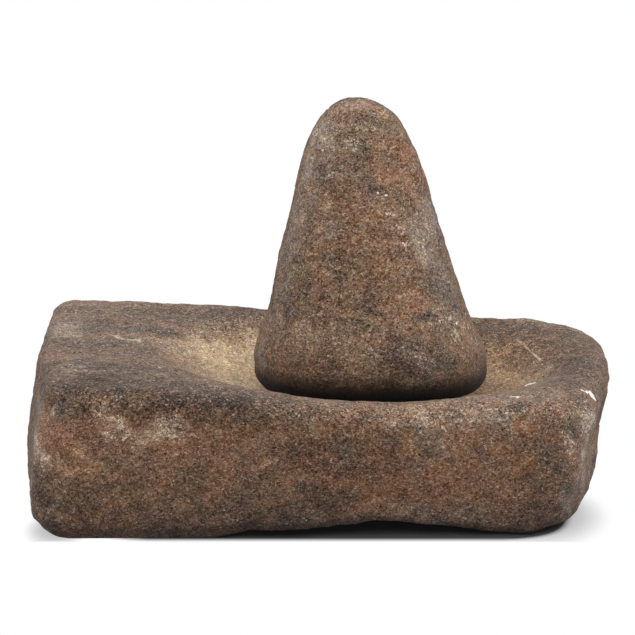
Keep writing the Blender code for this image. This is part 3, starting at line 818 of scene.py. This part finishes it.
grain = {
    "fine": 1900.0,                   # grains to the metre
    "coarse": 700.0,
    # how far the outlines of the grains are bent, so that none is quite round
    "bend": (0.0016, 0.0016, 0.0008),
    "redEdge": (0.40, 0.60),          # where in the drift the grey turns red
    "patchPull": 0.5,                 # how far a strong patch fills up its ragged edge
    "patchFilm": 0.4,                 # how much of a patch lies even, outside its ragged parts
    "patchEdge": (0.46, 0.84),
    "drift": 0.16,                    # how far each noise makes the stone lighter and darker
    "cloud": 0.17,
    "redder": (0.12, 0.0, -0.12),
    "greener": (-0.036, 0.048, 0.0),
    "hollows": 0.05,                  # how much darker the small hollows are
    "hollowEdge": (0.56, 0.72),
    "hollowMiddle": 0.1,
    "coarseContrast": 0.09,
    # how light a grain is for the number it draws, and how far it then stands out
    "flecks": [(0.0, 0.0), (0.12, 0.22), (0.5, 0.40), (0.9, 0.60), (1.0, 0.85)],
    "fleckMiddle": 0.41,
    "contrast": 0.55,
    "topContrast": 0.25,              # and how much further on the untouched top
    "crowded": 0.68,                  # how many whitish grains the chalky places hold
    "clumpFilm": 0.4,
    "clumpEdge": (0.36, 0.60),
    "loose": 0.26,                    # and how many lie loose elsewhere
    "groupEdge": (0.54, 0.74),
    "coarseShare": 0.4,               # how much the coarse grains say in which are whitish
    "chalkEdge": (-0.08, 0.14),
    "chalkCover": 0.9,
    "chalkFilm": 0.18,
    "chalk": (0.78, 0.72, 0.65),
    "chalkTint": 0.30,
    "chalkTone": 0.16,
    "scratchEdge": (0.20, 0.55),
    "white": (0.93, 0.91, 0.87),
    "chipRagged": 0.7,
    "chipCrumble": 0.35,
    "chipEdge": (0.42, 0.66),
    "gamma": 2.2,
    "grit": 0.00030,                  # depth of the bumps
    "domes": (0.6, 0.5),              # how much single grains and their round backs add to them
    "rough": (0.98, 0.66),            # roughness from the dullest to the most worn patches
    "sheenRough": 0.5,
}


def grainCells(mat):
    # the random numbers that each fine and each coarse grain draws
    bent = mat.vector("MULTIPLY_ADD", mat.field("bend", "Color"), grain["bend"], mat.where())
    fine, coarse = [
        mat.add("ShaderNodeTexVoronoi", {"Vector": bent, "Scale": grain[size]}).outputs
        for size in ("fine", "coarse")
    ]
    tone, pick, tint = mat.split(fine["Color"])
    coarseTone, coarsePick, _ = mat.split(coarse["Color"])
    return {
        "tone": tone,
        "pick": pick,
        "tint": tint,
        "reach": fine["Distance"],    # how far a place is from the middle of its grain
        "coarseTone": coarseTone,
        "coarsePick": coarsePick,
    }


def patchedColor(mat, finish):
    # the stone's two ground colours, then every painted patch over the ones before it
    ragged = mat.field("ragged")
    color = mat.mix(mat.share(mat.field("drift"), *grain["redEdge"]), finish["grey"], finish["red"])
    for layer in finish["layers"]:
        amount = mat.painted(layer)
        reach = mat.plus(ragged, mat.times(amount, grain["patchPull"]))
        cover = mat.atLeast(grain["patchFilm"], mat.share(reach, *grain["patchEdge"]))
        color = mat.mix(mat.times(amount, cover), color, finish[layer])
    return color


def grainedColor(mat, color, cells):
    # lighter and darker in ever smaller parts, down to the single grain
    color = mat.vary(color, mat.field("drift"), grain["drift"])
    color = mat.vary(color, mat.field("cloud"), grain["cloud"])
    red, green, _ = mat.split(mat.field("hue", "Color"))
    color = mat.vary(color, red, grain["redder"])
    color = mat.vary(color, green, grain["greener"])
    hollows = mat.share(mat.field("hollows"), *grain["hollowEdge"])
    color = mat.vary(color, hollows, -grain["hollows"], grain["hollowMiddle"])
    color = mat.vary(color, cells["coarseTone"], grain["coarseContrast"])
    flecks = mat.minus(mat.level(cells["tone"], grain["flecks"]), grain["fleckMiddle"])
    onTop = mat.plus(mat.times(mat.painted("top"), grain["topContrast"]), 1.0)
    return mat.vary(color, mat.times(flecks, onTop), grain["contrast"], 0.0)


def chalkedColor(mat, color, cells):
    # whitish grains crowd together in the chalky places, and lie loose in small groups elsewhere
    chalk = mat.painted("chalk")
    clumps = mat.atLeast(grain["clumpFilm"], mat.share(mat.field("clumps"), *grain["clumpEdge"]))
    crowd = mat.times(mat.times(chalk, clumps), grain["crowded"])
    groups = mat.share(mat.field("groups"), *grain["groupEdge"])
    chance = mat.plus(crowd, mat.times(groups, grain["loose"]))
    fineRank = mat.times(cells["pick"], 1.0 - grain["coarseShare"])
    rank = mat.plus(fineRank, mat.times(cells["coarsePick"], grain["coarseShare"]))
    chalky = mat.times(mat.share(mat.minus(chance, rank), *grain["chalkEdge"]), grain["chalkCover"])
    chalky = mat.math("MAXIMUM", chalky, mat.times(chalk, grain["chalkFilm"]))
    pale = mat.vary(grain["chalk"], cells["tint"], grain["chalkTint"])
    return mat.mix(chalky, color, mat.vary(pale, cells["tone"], grain["chalkTone"]))


def scratchedColor(mat, color, cells, scratches):
    # thin broken lines, then the white chips
    ragged = mat.field("ragged")
    broken = mat.share(ragged, *grain["scratchEdge"])
    for start, end, width, strength in scratches:
        line = mat.times(mat.scratch(start, end, width), broken)
        color = mat.mix(mat.times(line, strength), color, grain["chalk"])
    uneven = mat.times(mat.minus(ragged, 0.5), grain["chipRagged"])
    chip = mat.plus(mat.painted("white"), uneven)
    chip = mat.plus(chip, mat.times(cells["coarsePick"], -grain["chipCrumble"]))
    return mat.mix(mat.share(chip, *grain["chipEdge"]), color, grain["white"])


def stoneMaterial(name, finish):
    material, mat = newMaterial(name)
    cells = grainCells(mat)
    color = grainedColor(mat, patchedColor(mat, finish), cells)
    color = chalkedColor(mat, color, cells)
    color = scratchedColor(mat, color, cells, finish["scratches"])
    # painted shade on the pestle's foot
    if "shade" in finish:
        color = mat.mix(mat.painted("shade"), color, finish["shade"])
    # from colours as the eye sees them to amounts of light
    light = mat.add("ShaderNodeGamma", {"Color": color, "Gamma": grain["gamma"]})

    toneHeight, domeHeight = grain["domes"]
    height = mat.plus(mat.times(cells["tone"], toneHeight), mat.times(cells["reach"], -domeHeight))
    height = mat.plus(height, mat.field("grit"))
    bump = mat.add("ShaderNodeBump", {"Strength": 1.0, "Distance": grain["grit"], "Height": height})
    dullest, mostWorn = grain["rough"]
    sockets = {"Value": mat.field("cloud"), "To Min": dullest, "To Max": mostWorn}
    worn = mat.add("ShaderNodeMapRange", sockets)
    mat.fill(mat.tree.nodes["Principled BSDF"], {
        "Base Color": light.outputs["Color"],
        "Normal": bump.outputs["Normal"],
        "Roughness": worn.outputs["Result"],
        "Specular IOR Level": finish["gloss"],
        "Sheen Weight": finish["sheen"],
        "Sheen Roughness": grain["sheenRough"],
    })
    return material


studio = {
    "elevation": 14.0,
    "distance": 1.3,
    "aim": (-0.0012, 0.0, 0.0748),
    "lens": 171.8,
    "sensor": 36.0,
    "clipEnd": 50.0,
    "sky": 0.35,
    "lampAim": (0.0, 0.0, 0.05),
    # name, place, size, watts
    "lamps": [
        ("overhead", (0.0, 0.15, 1.5), (1.4, 1.2), 7.0),
        ("leftSide", (-1.2, 0.3, 0.9), (0.8, 1.2), 6.5),
        ("rightSide", (1.2, 0.3, 0.9), (0.8, 1.2), 12.0),
        ("front", (0.0, -1.25, 1.2), (1.6, 0.9), 23.0),
    ],
    "floorReach": 6.0,
    "floorTone": 0.15,              # how much light the floor throws back up at the stones
    "shadowTone": 0.07,             # its colour where the shadow shows
    "shadowGlow": 0.004,            # so that the darkest of it isn't quite black
    "shadowInset": (0.024, 0.006),  # how far inside the slab's outline its dark shadow ends
    "shadowCorners": 6.0,           # the higher, the squarer the corners of that outline
    "shadowEdge": 0.08,
    "shadowFront": (0.074, 0.081),  # how far forward all shade ends
    # lighter pools of shade beside the two ends: place, reach, strength
    "pools": [
        ((0.090, -0.042), (0.034, 0.050), 0.60),
        ((-0.109, -0.062), (0.015, 0.028), 0.50),
    ],
}


def makeCamera():
    camera = bpy.data.objects.new("camera", bpy.data.cameras.new("camera"))
    bpy.context.scene.collection.objects.link(camera)
    tilt = radians(studio["elevation"])
    back = Vector((0.0, -cos(tilt), sin(tilt)))
    camera.location = Vector(studio["aim"]) + back * studio["distance"]
    camera.rotation_euler = (radians(90.0) - tilt, 0.0, 0.0)
    camera.data.lens = studio["lens"]
    camera.data.sensor_width = studio["sensor"]
    camera.data.clip_end = studio["clipEnd"]
    bpy.context.scene.camera = camera


def makeLamps():
    for name, place, size, watts in studio["lamps"]:
        light = bpy.data.lights.new(name, "AREA")
        light.shape = "RECTANGLE"
        light.size, light.size_y = size
        light.energy = watts
        lamp = bpy.data.objects.new(name, light)
        lamp.location = place
        aim = Vector(studio["lampAim"]) - Vector(place)
        lamp.rotation_euler = aim.to_track_quat("-Z", "Y").to_euler()
        bpy.context.scene.collection.objects.link(lamp)


def makeWorld():
    world = bpy.data.worlds.new("studio")
    bpy.context.scene.world = world
    world.use_nodes = True
    world.node_tree.nodes.clear()
    nodes = Nodes(world.node_tree)
    white = (1.0, 1.0, 1.0, 1.0)
    unseen, shown = [
        nodes.add("ShaderNodeBackground", {"Color": white, "Strength": strength}).outputs[0]
        for strength in (studio["sky"], 1.0)
    ]
    mix = nodes.add("ShaderNodeMixShader", {"Fac": nodes.directlySeen(), 1: unseen, 2: shown})
    nodes.add("ShaderNodeOutputWorld", {"Surface": mix.outputs[0]})


def shadowEnd(mat):
    # 0 in the slab's shade and 1 beyond it, where the floor shows plain white
    place = mat.add("ShaderNodeSeparateXYZ", {0: mat.where()}).outputs
    square = studio["shadowCorners"]
    parts = []
    for i, axis in enumerate("XY"):
        middle = (slabLow[i] + slabHigh[i]) / 2
        half = (slabHigh[i] - slabLow[i]) / 2 - studio["shadowInset"][i]
        away = mat.math("DIVIDE", mat.math("ABSOLUTE", mat.minus(place[axis], middle)), half)
        parts.append(mat.math("POWER", away, square))
    outline = mat.math("POWER", mat.plus(*parts), 1.0 / square)
    edge = studio["shadowEdge"] / 2
    far = mat.share(outline, 1.0 - edge, 1.0 + edge)
    for spot, reach, strength in studio["pools"]:
        parts = []
        for i, axis in enumerate("XY"):
            away = mat.math("DIVIDE", mat.minus(place[axis], spot[i]), reach[i])
            parts.append(mat.times(away, away))
        far = mat.minus(far, mat.times(mat.fade(mat.plus(*parts), 0.0, 1.0), strength))
    inFront = mat.share(mat.times(place["Y"], -1.0), *studio["shadowFront"])
    return mat.math("MAXIMUM", mat.math("MAXIMUM", far, 0.0), inFront)


def floorMaterial():
    material, mat = newMaterial("paper")
    seen = mat.directlySeen()
    tones = [(studio[tone],) * 3 for tone in ("floorTone", "shadowTone")]
    paper = mat.fill(mat.tree.nodes["Principled BSDF"], {
        "Base Color": mat.mix(seen, *tones),
        "Roughness": 1.0,
        "Specular IOR Level": 0.0,
        "Emission Color": (1.0, 1.0, 1.0, 1.0),
        "Emission Strength": studio["shadowGlow"],
    })
    glow = mat.add("ShaderNodeEmission")
    sockets = {"Fac": mat.times(shadowEnd(mat), seen), 1: paper.outputs[0], 2: glow.outputs[0]}
    mix = mat.add("ShaderNodeMixShader", sockets)
    mat.fill(mat.tree.nodes["Material Output"], {"Surface": mix.outputs[0]})
    return material


def makeFloor():
    reach = studio["floorReach"]
    mesh = bpy.data.meshes.new("floor")
    corners = [(-reach, -reach, 0), (reach, -reach, 0), (reach, reach, 0), (-reach, reach, 0)]
    mesh.from_pydata(corners, [], [(0, 1, 2, 3)])
    floor = bpy.data.objects.new("floor", mesh)
    bpy.context.scene.collection.objects.link(floor)
    mesh.materials.append(floorMaterial())


slabStone = makeSlab()
pestleStone = makePestle()
slabStone.data.materials.append(stoneMaterial("slabStone", slabFinish))
pestleStone.data.materials.append(stoneMaterial("pestleStone", pestleFinish))
print("stone finishes made")
makeCamera()
makeLamps()
makeWorld()
makeFloor()
bpy.context.scene.view_settings.view_transform = "Standard"
print("stage ready")
